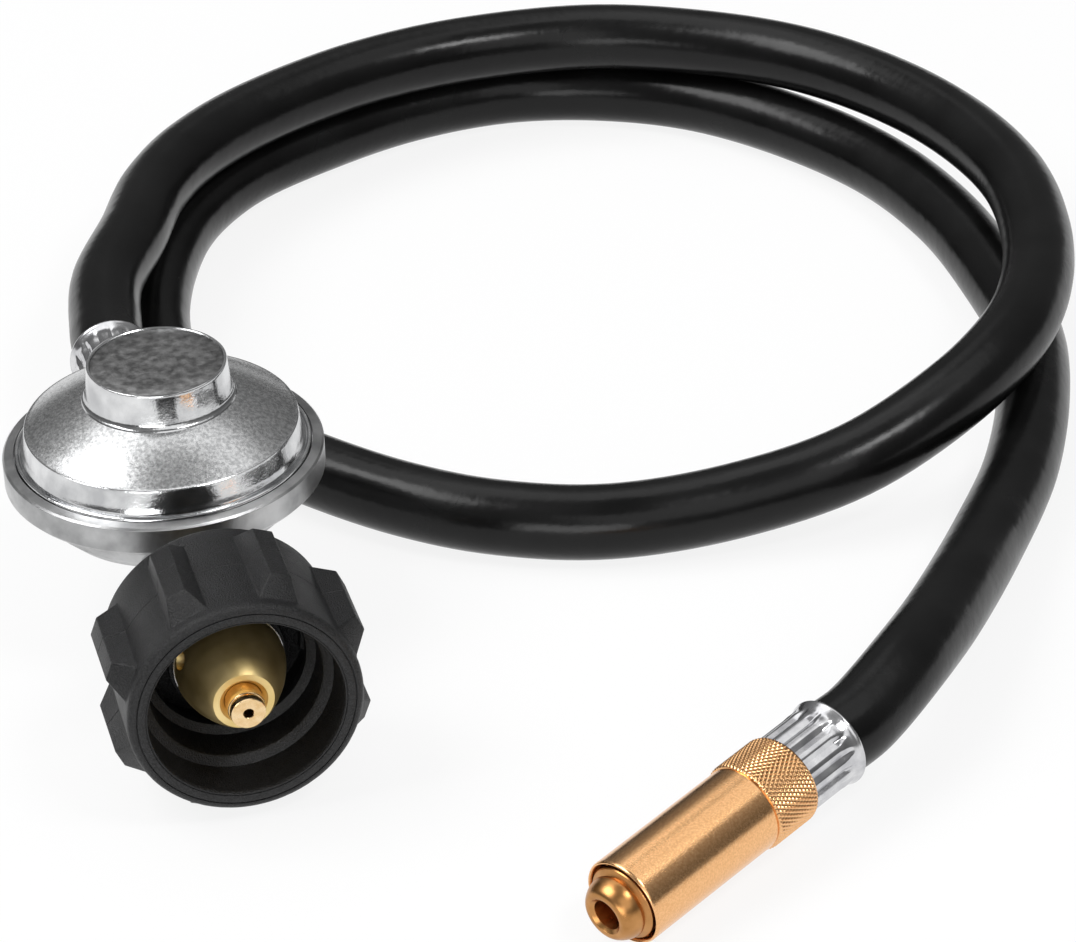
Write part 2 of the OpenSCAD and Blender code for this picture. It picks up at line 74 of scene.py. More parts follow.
softbox("overhead_box", (-0.14, 0.66, 1.25), (-0.14, 0.66, 0.0), (1.0, 0.86), 3.4)
right_box = softbox("right_box", (0.78, 0.05, 1.22), (0.78, 0.05, 0.0), (1.08, 0.55), 1.6)
right_box.rotation_euler = (0, 0, math.radians(-51))
softbox("left_box", (-1.4, 0.28, 2.0), (0.1, 0.08, 0.0), (1.5, 1.35), 40)
softbox("far_box", (0.33, 1.1, 1.25), (0.33, 1.1, 0.0), (0.4, 1.2), 0.6)
softbox("low_box", (0.48, -0.54, 1.05), (0.12, -0.02, 0.0), (0.36, 0.25), 4.2)
softbox("fill_box", (0.1, -1.2, 0.85), (0.0, -0.05, 0.03), (1.0, 0.9), 2.8)
softbox("front_strip", (-0.57, -1.37, 0.28), (0.02, 0.0, 0.03), (0.92, 0.5), 5.6)


def seen_rays(nodes, links):
    path = nodes.new("ShaderNodeLightPath")
    straight = nodes.new("ShaderNodeMath")
    straight.operation = "MAXIMUM"
    every = nodes.new("ShaderNodeMath")
    every.operation = "MAXIMUM"
    links.new(path.outputs["Is Camera Ray"], straight.inputs[0])
    links.new(path.outputs["Is Transmission Ray"], straight.inputs[1])
    links.new(straight.outputs[0], every.inputs[0])
    links.new(path.outputs["Is Glossy Ray"], every.inputs[1])
    return every.outputs[0]


world = bpy.data.worlds.new("studio")
scene.world = world
world.use_nodes = True
wn, wl = world.node_tree.nodes, world.node_tree.links
wn.clear()
w_out = wn.new("ShaderNodeOutputWorld")
w_dim = wn.new("ShaderNodeBackground")
w_dim.inputs["Color"].default_value = (0.96, 0.98, 1, 1)
w_dim.inputs["Strength"].default_value = 0.2
w_white = wn.new("ShaderNodeBackground")
w_white.inputs["Strength"].default_value = 1.0
w_mix = wn.new("ShaderNodeMixShader")
wl.new(seen_rays(wn, wl), w_mix.inputs[0])
wl.new(w_dim.outputs[0], w_mix.inputs[1])
wl.new(w_white.outputs[0], w_mix.inputs[2])
wl.new(w_mix.outputs[0], w_out.inputs[0])

bm = bmesh.new()
bmesh.ops.create_grid(bm, x_segments=1, y_segments=1, size=6)
board_mesh = bpy.data.meshes.new("board")
bm.to_mesh(board_mesh)
bm.free()
board = bpy.data.objects.new("board", board_mesh)
board.location = (0, 0, -0.0001)
scene.collection.objects.link(board)
board_paint = bpy.data.materials.new("board_white")
board_paint.use_nodes = True
bn, bl = board_paint.node_tree.nodes, board_paint.node_tree.links
bn.clear()
b_out = bn.new("ShaderNodeOutputMaterial")
b_matt = bn.new("ShaderNodeBsdfDiffuse")
b_matt.inputs["Color"].default_value = (0.86, 0.86, 0.86, 1)
b_glow = bn.new("ShaderNodeEmission")
b_glow.inputs["Strength"].default_value = 1.0
GLOW_SHARE = 0.86
b_share = bn.new("ShaderNodeMath")
b_share.operation = "MULTIPLY"
b_share.inputs[1].default_value = GLOW_SHARE
b_mix = bn.new("ShaderNodeMixShader")
bl.new(seen_rays(bn, bl), b_share.inputs[0])
bl.new(b_share.outputs[0], b_mix.inputs[0])
bl.new(b_matt.outputs[0], b_mix.inputs[1])
bl.new(b_glow.outputs[0], b_mix.inputs[2])
bl.new(b_mix.outputs[0], b_out.inputs[0])
board_mesh.materials.append(board_paint)

CANOPY_R = 2.6
bm = bmesh.new()
rim = [bm.verts.new((CANOPY_R * math.cos(math.radians(a)), 0, CANOPY_R * math.sin(math.radians(a))))
       for a in range(2, 91, 2)]
rim_edges = [bm.edges.new(pair) for pair in zip(rim, rim[1:])]
bmesh.ops.spin(bm, geom=rim + rim_edges, cent=(0, 0, 0), axis=(0, 0, 1), steps=48,
               angle=2 * math.pi, use_merge=True)
canopy_mesh = bpy.data.meshes.new("canopy")
bm.to_mesh(canopy_mesh)
bm.free()
canopy = bpy.data.objects.new("canopy", canopy_mesh)
scene.collection.objects.link(canopy)
canopy.visible_camera = False
canopy.visible_diffuse = False
canopy.visible_shadow = False
canopy.visible_transmission = False
canopy_cloth = bpy.data.materials.new("canopy_cloth")
canopy_cloth.use_nodes = True
cn, cl = canopy_cloth.node_tree.nodes, canopy_cloth.node_tree.links
cn.clear()
c_out = cn.new("ShaderNodeOutputMaterial")
c_glow = cn.new("ShaderNodeEmission")
c_place = cn.new("ShaderNodeTexCoord")
c_split = cn.new("ShaderNodeSeparateXYZ")
c_height = cn.new("ShaderNodeMapRange")
c_height.inputs["From Min"].default_value = 0.1
c_height.inputs["From Max"].default_value = 1.6
c_height.inputs["To Min"].default_value = 0.1
c_height.inputs["To Max"].default_value = 0.25
cl.new(c_place.outputs["Object"], c_split.inputs[0])
cl.new(c_split.outputs["Z"], c_height.inputs["Value"])
cl.new(c_height.outputs[0], c_glow.inputs["Strength"])
cl.new(c_glow.outputs[0], c_out.inputs[0])
canopy_mesh.materials.append(canopy_cloth)

# ---- Hose --------------------------------------------------------------------------------------
# Low pressure gas hose, black rubber over a textile braid that shows as a faint ripple. It leaves
# the outlet ferrule, lies round twice on itself and ends in the ferrule of the union.
MM = 0.001
GAS_Y, GAS_Z = 7.15, 25.0886
GAS = Vector((0.0, GAS_Y, GAS_Z)) * MM
union_axis = Vector((-0.8539055, -0.5130782, -0.0871557))
union_rim = Vector((56.0, -126.15, 8.6371)) * MM
upright = Matrix.Translation(GAS)
ahead = upright @ Matrix.Rotation(math.radians(90), 4, "X")
astern = upright @ Matrix.Rotation(math.radians(-90), 4, "X")
union_at = (Matrix.Translation(union_rim) @ Matrix.Rotation(math.radians(211), 4, "Z")
            @ Matrix.Rotation(math.radians(95), 4, "Y"))
HOSE_D = 15.8 * MM


def behind_rim(mm):
    return union_rim - union_axis * mm * MM


hi, lo = 23.9, 7.9  # axis heights of the upper and the lower turn, in mm
lay_points = [(0, 44, 25.09), (0, 59.4, 25.09), (0, 63.6, 25.09), (1, 75, 25.09), (5, 95.5, 25.09),
              (15, 117.5, hi + 0.7), (23.5, 137.5, hi + 0.1), (36, 154.5, hi), (54.5, 169, hi),
              (81.5, 181.5, hi), (109, 186.5, hi), (139.5, 184, hi), (164, 173, hi),
              (184.5, 157, hi), (199.5, 135.5, hi), (209, 111, hi), (212.5, 84.5, hi),
              (209, 59.5, hi), (200.5, 35.5, hi), (187, 14.5, hi - 0.3), (167.5, -1, hi - 3.4),
              (142.5, -10, lo + 6.6), (116, -10, lo + 1.7), (90.5, -7, lo), (69, 1.5, lo),
              (51.5, 15, lo), (35.5, 33.5, lo), (22, 53.5, lo), (15.5, 77, lo), (16, 102.5, lo),
              (22.5, 128, lo), (33.5, 151.5, lo), (50.5, 170, lo), (72.5, 182, lo),
              (96.5, 190.5, lo), (121.5, 192.5, lo), (145, 186, lo), (166, 172.5, lo),
              (183.5, 150.5, lo), (196, 125, lo), (202, 96.5, lo), (202.5, 67, lo),
              (200, 38.5, lo), (191.5, 13, lo), (178.5, -13.5, lo), (162, -38.5, lo + 1.1),
              (142.5, -67, lo + 5.4), (127, -86.5, lo + 8)]
route = [Vector((x, y + GAS_Y, z)) * MM for x, y, z in lay_points]
route += [behind_rim(68), behind_rim(58.7), behind_rim(54.5), behind_rim(39.1)]


def smooth_line(points, steps):
    line = []
    for i in range(len(points) - 1):
        a = points[i - 1] if i else points[0] * 2 - points[1]
        b, c = points[i], points[i + 1]
        d = points[i + 2] if i + 2 < len(points) else points[-1] * 2 - points[-2]
        for k in range(steps):
            t = k / steps
            line.append(0.5 * (b * 2 + (c - a) * t + (a * 2 - b * 5 + c * 4 - d) * t * t
                               + (b * 3 - a - c * 3 + d) * t ** 3))
    return line + [points[-1]]


STEPS, MOUTH = 8, 2  # points of the line per lay point; the lay point in the ferrule's mouth
centre_line = smooth_line(route, STEPS)
IN_FERRULE, SQUEEZED = 13, 0.93
hose_curve = bpy.data.curves.new("hose_line", "CURVE")
hose_curve.dimensions = "3D"
hose_curve.bevel_depth = HOSE_D / 2
hose_curve.bevel_resolution = 14
hose_curve.use_fill_caps = True
hose_curve.twist_mode = "Z_UP"
spline = hose_curve.splines.new("POLY")
spline.points.add(len(centre_line) - 1)
for k, (p, q) in enumerate(zip(spline.points, centre_line)):
    p.co = (*q, 1)
    crimped = min(k, len(centre_line) - 1 - k) < IN_FERRULE
    p.radius = SQUEEZED if crimped else 1.0
hose_tmp = bpy.data.objects.new("hose_tmp", hose_curve)
scene.collection.objects.link(hose_tmp)
bpy.context.view_layer.update()
hose_mesh = bpy.data.meshes.new_from_object(
    hose_tmp.evaluated_get(bpy.context.evaluated_depsgraph_get()))
bpy.data.objects.remove(hose_tmp)
hose = bpy.data.objects.new("rubber_hose", hose_mesh)
scene.collection.objects.link(hose)
for f in hose_mesh.polygons:
    f.use_smooth = True


def principled(name, colour, metallic=0.0, roughness=0.5):
    mat = bpy.data.materials.new(name)
    mat.use_nodes = True
    shader = mat.node_tree.nodes["Principled BSDF"]
    shader.inputs["Base Color"].default_value = (*colour, 1)
    shader.inputs["Metallic"].default_value = metallic
    shader.inputs["Roughness"].default_value = roughness
    return mat, mat.node_tree.nodes, mat.node_tree.links, shader


def grain(nodes, links, scale, detail=4.0, stretch=(1, 1, 1)):
    place = nodes.new("ShaderNodeTexCoord")
    fit = nodes.new("ShaderNodeMapping")
    fit.inputs["Scale"].default_value = stretch
    noise = nodes.new("ShaderNodeTexNoise")
    noise.inputs["Scale"].default_value = scale
    noise.inputs["Detail"].default_value = detail
    links.new(place.outputs["Object"], fit.inputs["Vector"])
    links.new(fit.outputs[0], noise.inputs["Vector"])
    return noise


def spread(nodes, links, source, low, high, start=0.3, end=0.7):
    ramp = nodes.new("ShaderNodeMapRange")
    ramp.inputs["From Min"].default_value = start
    ramp.inputs["From Max"].default_value = end
    ramp.inputs["To Min"].default_value = low
    ramp.inputs["To Max"].default_value = high
    links.new(source, ramp.inputs["Value"])
    return ramp.outputs[0]


def relief(nodes, links, shader, source, depth, strength=1.0, below=None):
    bump = nodes.new("ShaderNodeBump")
    bump.inputs["Strength"].default_value = strength
    bump.inputs["Distance"].default_value = depth
    links.new(source, bump.inputs["Height"])
    if below:
        links.new(below.outputs[0], bump.inputs["Normal"])
    links.new(bump.outputs[0], shader.inputs["Normal"])
    return bump


def tint(nodes, links, shader, source, dark, light, start=0.3, end=0.7):
    ramp = nodes.new("ShaderNodeValToRGB")
    ramp.color_ramp.elements[0].position = start
    ramp.color_ramp.elements[0].color = (*dark, 1)
    ramp.color_ramp.elements[1].position = end
    ramp.color_ramp.elements[1].color = (*light, 1)
    links.new(source, ramp.inputs[0])
    links.new(ramp.outputs[0], shader.inputs["Base Color"])


hose_rubber, n, l, s = principled("hose_rubber", (0.004, 0.004, 0.004), roughness=0.25)
cloth = grain(n, l, 420, 3)
wide = grain(n, l, 60, 2)
tint(n, l, s, wide.outputs[0], (0.003, 0.003, 0.003), (0.006, 0.006, 0.006))
l.new(spread(n, l, wide.outputs[0], 0.2, 0.28), s.inputs["Roughness"])
s.inputs["Specular IOR Level"].default_value = 0.25
b1 = relief(n, l, s, wide.outputs[0], 0.0005, 0.5)
relief(n, l, s, cloth.outputs[0], 0.00012, 0.6, b1)
hose_mesh.materials.clear()
hose_mesh.materials.append(hose_rubber)
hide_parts("hose")
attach(hose, "regulator_and_hose")

# ---- Regulator cover ---------------------------------------------------------------------------
# Polished zinc die casting: clamped flange, bead, steep wall, ridge, bare dome, spring tower and
# the vent boss behind it. Turned from one outline, the boss set in the dome.


def turned(outline, steps=144, closed=True):
    bm = bmesh.new()
    line = [bm.verts.new((r, 0, z)) for r, z in outline]
    edges = [bm.edges.new(pair) for pair in zip(line, line[1:])]
    if closed:
        edges.append(bm.edges.new((line[-1], line[0])))
    bmesh.ops.spin(bm, geom=line + edges, cent=(0, 0, 0), axis=(0, 0, 1), steps=steps,
                   angle=2 * math.pi, use_merge=True)
    bmesh.ops.remove_doubles(bm, verts=bm.verts, dist=0.0005)
    bmesh.ops.dissolve_degenerate(bm, edges=bm.edges, dist=0.0001)
    bmesh.ops.recalc_face_normals(bm, faces=bm.faces)
    return bm


def soften(bm, width, above=25, segments=2, pick=lambda e: True):
    bm.normal_update()
    edges = [e for e in bm.edges if len(e.link_faces) == 2
             and e.calc_face_angle(0) > math.radians(above) and pick(e)]
    bmesh.ops.bevel(bm, geom=edges, offset=width, offset_type="OFFSET", segments=segments,
                    profile=0.5, affect="EDGES", clamp_overlap=True, material=-1)


def piece(bm, name, materials, sharp):
    bmesh.ops.recalc_face_normals(bm, faces=bm.faces)
    mesh = bpy.data.meshes.new(name)
    bm.to_mesh(mesh)
    bm.free()
    for f in mesh.polygons:
        f.use_smooth = True
    mesh.set_sharp_from_angle(angle=math.radians(sharp))
    for m in materials:
        mesh.materials.append(m)
    ob = bpy.data.objects.new(name, mesh)
    scene.collection.objects.link(ob)
    return ob


def settle(bm, name, place, materials, body, nodes, sharp=35):
    bmesh.ops.transform(bm, matrix=place @ Matrix.Scale(MM, 4), verts=bm.verts)
    ob = piece(bm, name, materials, sharp)
    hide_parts(*nodes)
    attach(ob, body)
    return ob


def join_in(bm, extra):
    mesh = bpy.data.meshes.new("extra")
    extra.to_mesh(mesh)
    extra.free()
    bm.from_mesh(mesh)
    bpy.data.meshes.remove(mesh)


CAVITY_R, RIDGE_R, TOWER_FOOT_R = 24.3, 27.0, 16.2
RIDGE_Z, DOME_RISE, DOME_STEPS = 20.4, 5.6, 24
dome = []
for i in range(DOME_STEPS + 1):
    t = i / DOME_STEPS
    dome.append((RIDGE_R - t * (RIDGE_R - TOWER_FOOT_R),
                 RIDGE_Z + DOME_RISE * (t * 1.25 - 0.25 * t * t)))
cover_line = [(CAVITY_R, 12.0), (30.55, 12.0), (30.55, 13.85), (29.75, 13.85), (29.75, 14.8),
              (29.6, 15.1), (29.45, 15.2), (29.1, 15.2), (28.95, 15.1), (28.8, 14.95),
              (28.62, 14.95), (28.58, 15.55), (28.5, 15.8), (28.3, 16.3), (28.12, 16.9),
              (27.56, 19.7), (27.5, 19.95), (27.42, 20.22), (27.3, 20.34), (27.15, 20.36)]
cover_line += dome
cover_line += [(15.75, 26.14), (15.5, 26.24), (15.35, 26.5), (15.1, 26.56), (14.9, 26.75),
               (14.72, 27.1), (14.55, 27.5), (14.02, 33.0), (13.98, 33.45), (13.9, 33.62),
               (13.75, 33.7), (13.45, 33.7), (13.3, 33.55), (13.3, 32.2), (10.6, 32.2),
               (10.6, 23.2), (11.4, 22.6), (15.5, 22.4), (23.8, 18.6), (25.2, 17.2),
               (CAVITY_R, 13.2)]
bm = turned(cover_line, 180)
for f in bm.faces:
    c = f.calc_center_median()
    r = math.hypot(c.x, c.y)
    f.material_index = 1 if 15.6 < r < 27.2 and c.z > 20.3 + (27.2 - r) * 0.3 else 0
boss = turned([(3.2, 21.0), (3.2, 26.2), (3.05, 26.45), (2.75, 26.5), (2.35, 26.5), (2.2, 26.35),
               (2.2, 25.7), (1.5, 25.7), (1.5, 21.0)], 48)
bmesh.ops.translate(boss, verts=boss.verts, vec=(0, 21, 0))
join_in(bm, boss)
polished_zinc, n, l, s = principled("polished_zinc", (0.66, 0.67, 0.68), 1.0, 0.14)
cloud = grain(n, l, 140, 4)
speck = grain(n, l, 2600, 2)
tint(n, l, s, cloud.outputs[0], (0.5, 0.505, 0.515), (0.78, 0.785, 0.79), 0.35, 0.65)
l.new(spread(n, l, cloud.outputs[0], 0.1, 0.2), s.inputs["Roughness"])
b1 = relief(n, l, s, cloud.outputs[0], 0.0004, 0.35)
relief(n, l, s, speck.outputs[0], 0.00005, 0.35, b1)
cast_dome, n, l, s = principled("cast_dome", (0.62, 0.63, 0.64), 1.0, 0.28)
cloud = grain(n, l, 1400, 6)
speck = grain(n, l, 2200, 3)
tint(n, l, s, cloud.outputs[0], (0.44, 0.445, 0.45), (0.72, 0.725, 0.73), 0.38, 0.62)
l.new(spread(n, l, speck.outputs[0], 0.24, 0.32), s.inputs["Roughness"])
b1 = relief(n, l, s, cloud.outputs[0], 0.00004, 0.4)
relief(n, l, s, speck.outputs[0], 0.00002, 0.3, b1)
settle(bm, "regulator_cover", upright, [polished_zinc, cast_dome], "regulator_and_hose",
       ["cover"], 28)

# ---- Cap disc ----------------------------------------------------------------------------------
# Rough grey disc pressed in the tower over the adjusting screw, cloudy from its coating.
bm = turned([(0, 32.2), (13.3, 32.2), (13.3, 33.3), (13.1, 33.42), (9, 33.4), (4, 33.36),
             (0, 33.35)], 144, False)
cap_grey, n, l, s = principled("cap_grey", (0.2, 0.2, 0.2), 1.0, 0.42)
cloud = grain(n, l, 560, 9)
speck = grain(n, l, 2400, 3)
tint(n, l, s, cloud.outputs[0], (0.13, 0.13, 0.13), (0.32, 0.32, 0.32), 0.36, 0.66)
l.new(spread(n, l, speck.outputs[0], 0.34, 0.55), s.inputs["Roughness"])
b1 = relief(n, l, s, cloud.outputs[0], 0.0002, 0.3)
relief(n, l, s, speck.outputs[0], 0.00008, 0.5, b1)
settle(bm, "tower_cap_disc", upright, [cap_grey], "regulator_and_hose", ["cap_disc"])

# ---- Lower body --------------------------------------------------------------------------------
# Zinc die casting with the crimped lip, gas tunnel and both bosses, kept from the solid model,
# its seams closed and its edges broken.


def dressed(node, name, width, material, body, sharp=32):
    source = frame["nodes"][node]
    bm = bmesh.new()
    bm.from_mesh(source.data)
    bmesh.ops.transform(bm, matrix=source.matrix_world, verts=bm.verts)
    bmesh.ops.remove_doubles(bm, verts=bm.verts, dist=0.000002)
    bmesh.ops.dissolve_limit(bm, angle_limit=math.radians(0.4), verts=bm.verts, edges=bm.edges)
    ob = piece(bm, name, [material], sharp)
    mod = ob.modifiers.new("edges", "BEVEL")
    mod.width = width * MM
    mod.segments = 2
    mod.limit_method = "ANGLE"
    mod.angle_limit = math.radians(38)
    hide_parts(node)
    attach(ob, body)


# Base colour and tint kept darker than the polished cover: painted shade for the dimmer, shadowed
# floor light that the rim reflects.
cast_zinc_painted_shade, n, l, s = principled("cast_zinc_painted_shade", (0.55, 0.555, 0.56), 1.0, 0.32)
cloud = grain(n, l, 130, 5)
speck = grain(n, l, 1800, 3)
tint(n, l, s, cloud.outputs[0], (0.3, 0.302, 0.305), (0.52, 0.522, 0.525), 0.35, 0.65)
l.new(spread(n, l, speck.outputs[0], 0.28, 0.38), s.inputs["Roughness"])
b1 = relief(n, l, s, cloud.outputs[0], 0.0003, 0.3)
relief(n, l, s, speck.outputs[0], 0.00002, 0.25, b1)
dressed("lower_body", "regulator_bowl", 0.15, cast_zinc_painted_shade, "regulator_and_hose")

# ---- Hand nut ----------------------------------------------------------------------------------
# Moulded black nylon nut: tapered body with eight lugs that end in a slope, a seam round it, a
# stepped mouth and a coarse thread inside. Drawn ring by ring along its axis.
LUGS, LUG_STEP, LUG_TURN = 8, 45, 24.0
LUG_HALF, LUG_FOOT, LUG_R, SKIN_R = 4.4, 9.95, 26.18, 20.9
columns = [-22.5, -19, -16, -13, -LUG_FOOT, -LUG_HALF, 0, LUG_HALF, LUG_FOOT, 13, 16, 19]
turns_at = [(math.radians(LUG_TURN + LUG_STEP * k + a), a) for k in range(LUGS) for a in columns]


def grow(bm, edges):
    grown = bmesh.ops.extrude_edge_only(bm, edges=edges)["geom"]
    fresh = {g for g in grown if isinstance(g, bmesh.types.BMVert)}
    edges = [g for g in grown if isinstance(g, bmesh.types.BMEdge)
             and g.verts[0] in fresh and g.verts[1] in fresh]
    return fresh, edges


def lay_ring(verts, u, r, lug=None):
    start = math.radians(LUG_TURN + columns[0]) - 0.01
    around = sorted(verts, key=lambda v: (math.atan2(v.co.y, v.co.x) - start) % (2 * math.pi))
    for v, (angle, off) in zip(around, turns_at):
        q = r
        if lug and abs(off) <= LUG_HALF:
            q = lug * math.cos(math.radians(LUG_HALF)) / math.cos(math.radians(off))
        v.co = (q * math.cos(angle), q * math.sin(angle), u)


bm = bmesh.new()
bmesh.ops.create_circle(bm, cap_ends=False, segments=len(turns_at), radius=20)
lay_ring(bm.verts, 46.0, 21.3)
edges = list(bm.edges)
for ring in ((46.1, 21.7), (46.35, 21.95), (46.8, 22.12), (50.0, 22.3), (53.1, 22.35, LUG_R),
             (58.0, 22.43, LUG_R), (64.0, 22.54, LUG_R), (69.25, 22.63, LUG_R), (73.0, 22.7),
             (74.4, 22.72), (74.95, 22.66), (75.4, 22.45), (75.75, 22.1), (75.95, 21.65),
             (76.02, 21.3), (75.98, 21.16), (75.78, 21.1), (75.78, 20.98), (76.0, 20.9),
             (76.06, 20.75), (76.06, 19.55), (76.0, 19.42), (75.84, 19.36), (75.84, 19.26),
             (75.94, 19.2), (75.9, 19.0), (75.6, 18.82), (75.0, 18.72), (67.3, 18.72),
             (67.08, 18.66), (66.98, 18.5), (66.1, 17.0), (65.9, 16.82), (65.6, 16.75),
             (50.3, 16.75), (50.0, 16.45), (50.0, 11.9), (50.15, 11.6), (50.4, 11.5),
             (57.6, 11.5), (57.82, 11.4), (57.9, 11.2), (57.9, 8.85), (57.8, 8.6), (57.6, 8.55),
             (46.4, 8.55), (46.1, 8.65), (46.0, 8.9), (46.0, 21.3)):
    fresh, edges = grow(bm, edges)
    lay_ring(fresh, *ring)
bmesh.ops.remove_doubles(bm, verts=bm.verts, dist=0.0005)
bmesh.ops.recalc_face_normals(bm, faces=bm.faces)


def corner(angle, u):
    near = [v for v in bm.verts if abs(v.co.z - u) < 0.01 and math.hypot(v.co.x, v.co.y) > SKIN_R
            and abs((math.degrees(math.atan2(v.co.y, v.co.x)) - angle + 180) % 360 - 180) < 0.1]
    return max(near, key=lambda v: math.hypot(v.co.x, v.co.y))


for k in range(LUGS):
    middle = LUG_TURN + LUG_STEP * k
    for side in (-1, 1):
        for top_u, foot_u in ((69.25, 73.0), (53.1, 50.0)):
            bmesh.ops.connect_verts(bm, verts=[corner(middle + side * LUG_HALF, top_u),
                                               corner(middle + side * LUG_FOOT, foot_u)])
soften(bm, 0.28, 20, 3, lambda e: all(math.hypot(v.co.x, v.co.y) > 22 and 49 < v.co.z < 74
                                      for v in e.verts))


def outside(g):
    spots = [g.co] if isinstance(g, bmesh.types.BMVert) else [v.co for v in g.verts]
    return all(math.hypot(p.x, p.y) > SKIN_R for p in spots)


SEAM_U, SEAM_HALF, SEAM_DEPTH = 60.3, 0.13, 0.12
for cut in (-SEAM_HALF, 0, SEAM_HALF):
    geom = [g for g in list(bm.verts) + list(bm.edges) + list(bm.faces) if outside(g)]
    bmesh.ops.bisect_plane(bm, geom=geom, plane_co=(0, 0, SEAM_U + cut), plane_no=(0, 0, 1),
                           dist=1e-5)
bm.normal_update()
sunk = [(v, v.normal.copy()) for v in bm.verts
        if abs(v.co.z - SEAM_U) < 1e-3 and math.hypot(v.co.x, v.co.y) > SKIN_R]
for v, normal in sunk:
    v.co -= normal * SEAM_DEPTH
thread = bmesh.new()
PITCH = 5.08
lead = math.radians(-12)
profile = [thread.verts.new((r * math.cos(lead), r * math.sin(lead), u))
           for r, u in ((17.0, 51.3), (15.25, 52.1), (15.05, 52.25), (15.05, 54.15), (15.25, 54.3),
                        (17.0, 55.1))]
thread_edges = [thread.edges.new(pair) for pair in zip(profile, profile[1:] + profile[:1])]
turns, per_turn = 1.2, 96
bmesh.ops.spin(thread, geom=profile + thread_edges, cent=(0, 0, 0), axis=(0, 0, 1),
               dvec=(0, 0, PITCH / per_turn), steps=int(turns * per_turn),
               angle=2 * math.pi * turns, use_duplicate=False)
bmesh.ops.holes_fill(thread, edges=[e for e in thread.edges if e.is_boundary], sides=0)
join_in(bm, thread)
nut_nylon, n, l, s = principled("nut_nylon", (0.005, 0.005, 0.006), 0.0, 0.42)
s.inputs["Specular IOR Level"].default_value = 0.38
pits = grain(n, l, 3300, 3)
wide = grain(n, l, 120, 3)
tint(n, l, s, pits.outputs[0], (0.001, 0.001, 0.0012), (0.016, 0.016, 0.017), 0.42, 0.64)
l.new(spread(n, l, wide.outputs[0], 0.36, 0.46), s.inputs["Roughness"])
relief(n, l, s, pits.outputs[0], 0.0002, 1.0)
settle(bm, "nylon_hand_nut", ahead, [nut_nylon], "nut", ["hand_nut"], 30)

# ---- Inlet nipple ------------------------------------------------------------------------------
# Turned brass: hexagon, neck and the bullet with its cross holes, kept from the solid model.
bullet_brass, n, l, s = principled("bullet_brass", (0.84, 0.65, 0.3), 1.0, 0.48)
cloud = grain(n, l, 160, 4)
lines = grain(n, l, 900, 2, (0.04, 3, 0.04))
tint(n, l, s, cloud.outputs[0], (0.76, 0.57, 0.24), (0.9, 0.71, 0.35), 0.35, 0.65)
l.new(spread(n, l, cloud.outputs[0], 0.44, 0.52), s.inputs["Roughness"])
relief(n, l, s, lines.outputs[0], 0.00003, 0.5)
dressed("inlet_nipple", "brass_nipple", 0.12, bullet_brass, "regulator_and_hose", 28)

# ---- Retaining ring and probe ------------------------------------------------------------------
# Bright steel ring behind the bullet, and the sprung brass probe in its nose.
ring_steel, n, l, s = principled("ring_steel", (0.75, 0.75, 0.76), 1.0, 0.25)
speck = grain(n, l, 1500, 3)
l.new(spread(n, l, speck.outputs[0], 0.18, 0.34), s.inputs["Roughness"])
relief(n, l, s, speck.outputs[0], 0.00003, 0.5)
bm = turned([(8.5, 58.2), (10.75, 58.2), (10.9, 58.35), (10.9, 59.05), (10.75, 59.2), (8.5, 59.2)])
settle(bm, "nut_stop_ring", ahead, [ring_steel], "regulator_and_hose", ["nut_retaining_ring"])
probe_brass, n, l, s = principled("probe_brass", (0.86, 0.6, 0.3), 1.0, 0.2)
cloud = grain(n, l, 500, 3)
lines = grain(n, l, 1600, 2, (0.04, 3, 0.04))
tint(n, l, s, cloud.outputs[0], (0.78, 0.52, 0.25), (0.9, 0.68, 0.4), 0.35, 0.65)
l.new(spread(n, l, cloud.outputs[0], 0.16, 0.28), s.inputs["Roughness"])
relief(n, l, s, lines.outputs[0], 0.00002, 0.5)
bm = turned([(1.0, 77.2), (1.1, 77.3), (3.15, 77.3), (3.3, 77.2), (3.5, 76.35), (3.5, 76.15),
             (3.35, 76.1), (3.1, 76.1), (3.1, 75.75), (3.5, 75.6), (3.6, 75.45), (3.6, 70.5),
             (4.6, 70.5), (4.75, 70.35), (4.75, 66.1), (4.65, 66.0), (2.6, 66.0), (2.6, 63.1),
             (1.0, 63.1)], 96)
settle(bm, "sprung_probe", ahead, [probe_brass], "probe", ["probe_tip"], 30)

# ---- Crimped ferrules --------------------------------------------------------------------------
# Bright steel sleeves pressed on the hose with sixteen long flutes and a flared mouth with a thin
# rolled rim; one behind the regulator, one at the union.
FLUTES, PER_FLUTE, FLUTE_DEPTH, FLUTE_SHARE = 16, 14, 0.62, 0.66
FLUTE_END, RUN_OUT, RUN_IN, BORE_LIMIT_R = 18.3, 2.8, 1.2, 8.0
sleeve = [(0.0, 4.75), (0.0, 7.1), (0.15, 7.5), (0.5, 7.95), (1.0, 8.25), (1.7, 8.38)]
sleeve += [(1.7 + 0.6 * k, 8.4) for k in range(1, 23)]
sleeve += [(15.4, 8.42), (15.8, 8.45), (16.2, 8.48), (16.6, 8.5), (17.0, 8.49), (17.4, 8.46),
           (17.8, 8.46), (18.2, 8.5), (18.6, 8.6), (19.0, 8.74), (19.4, 8.87), (19.7, 8.94),
           (19.85, 9.04), (20.05, 9.07), (20.25, 9.05), (20.4, 8.95), (20.5, 8.8), (20.5, 8.45),
           (20.3, 8.2), (16.9, 7.3), (1.5, 7.3), (1.5, 4.75), (0.0, 4.75)]


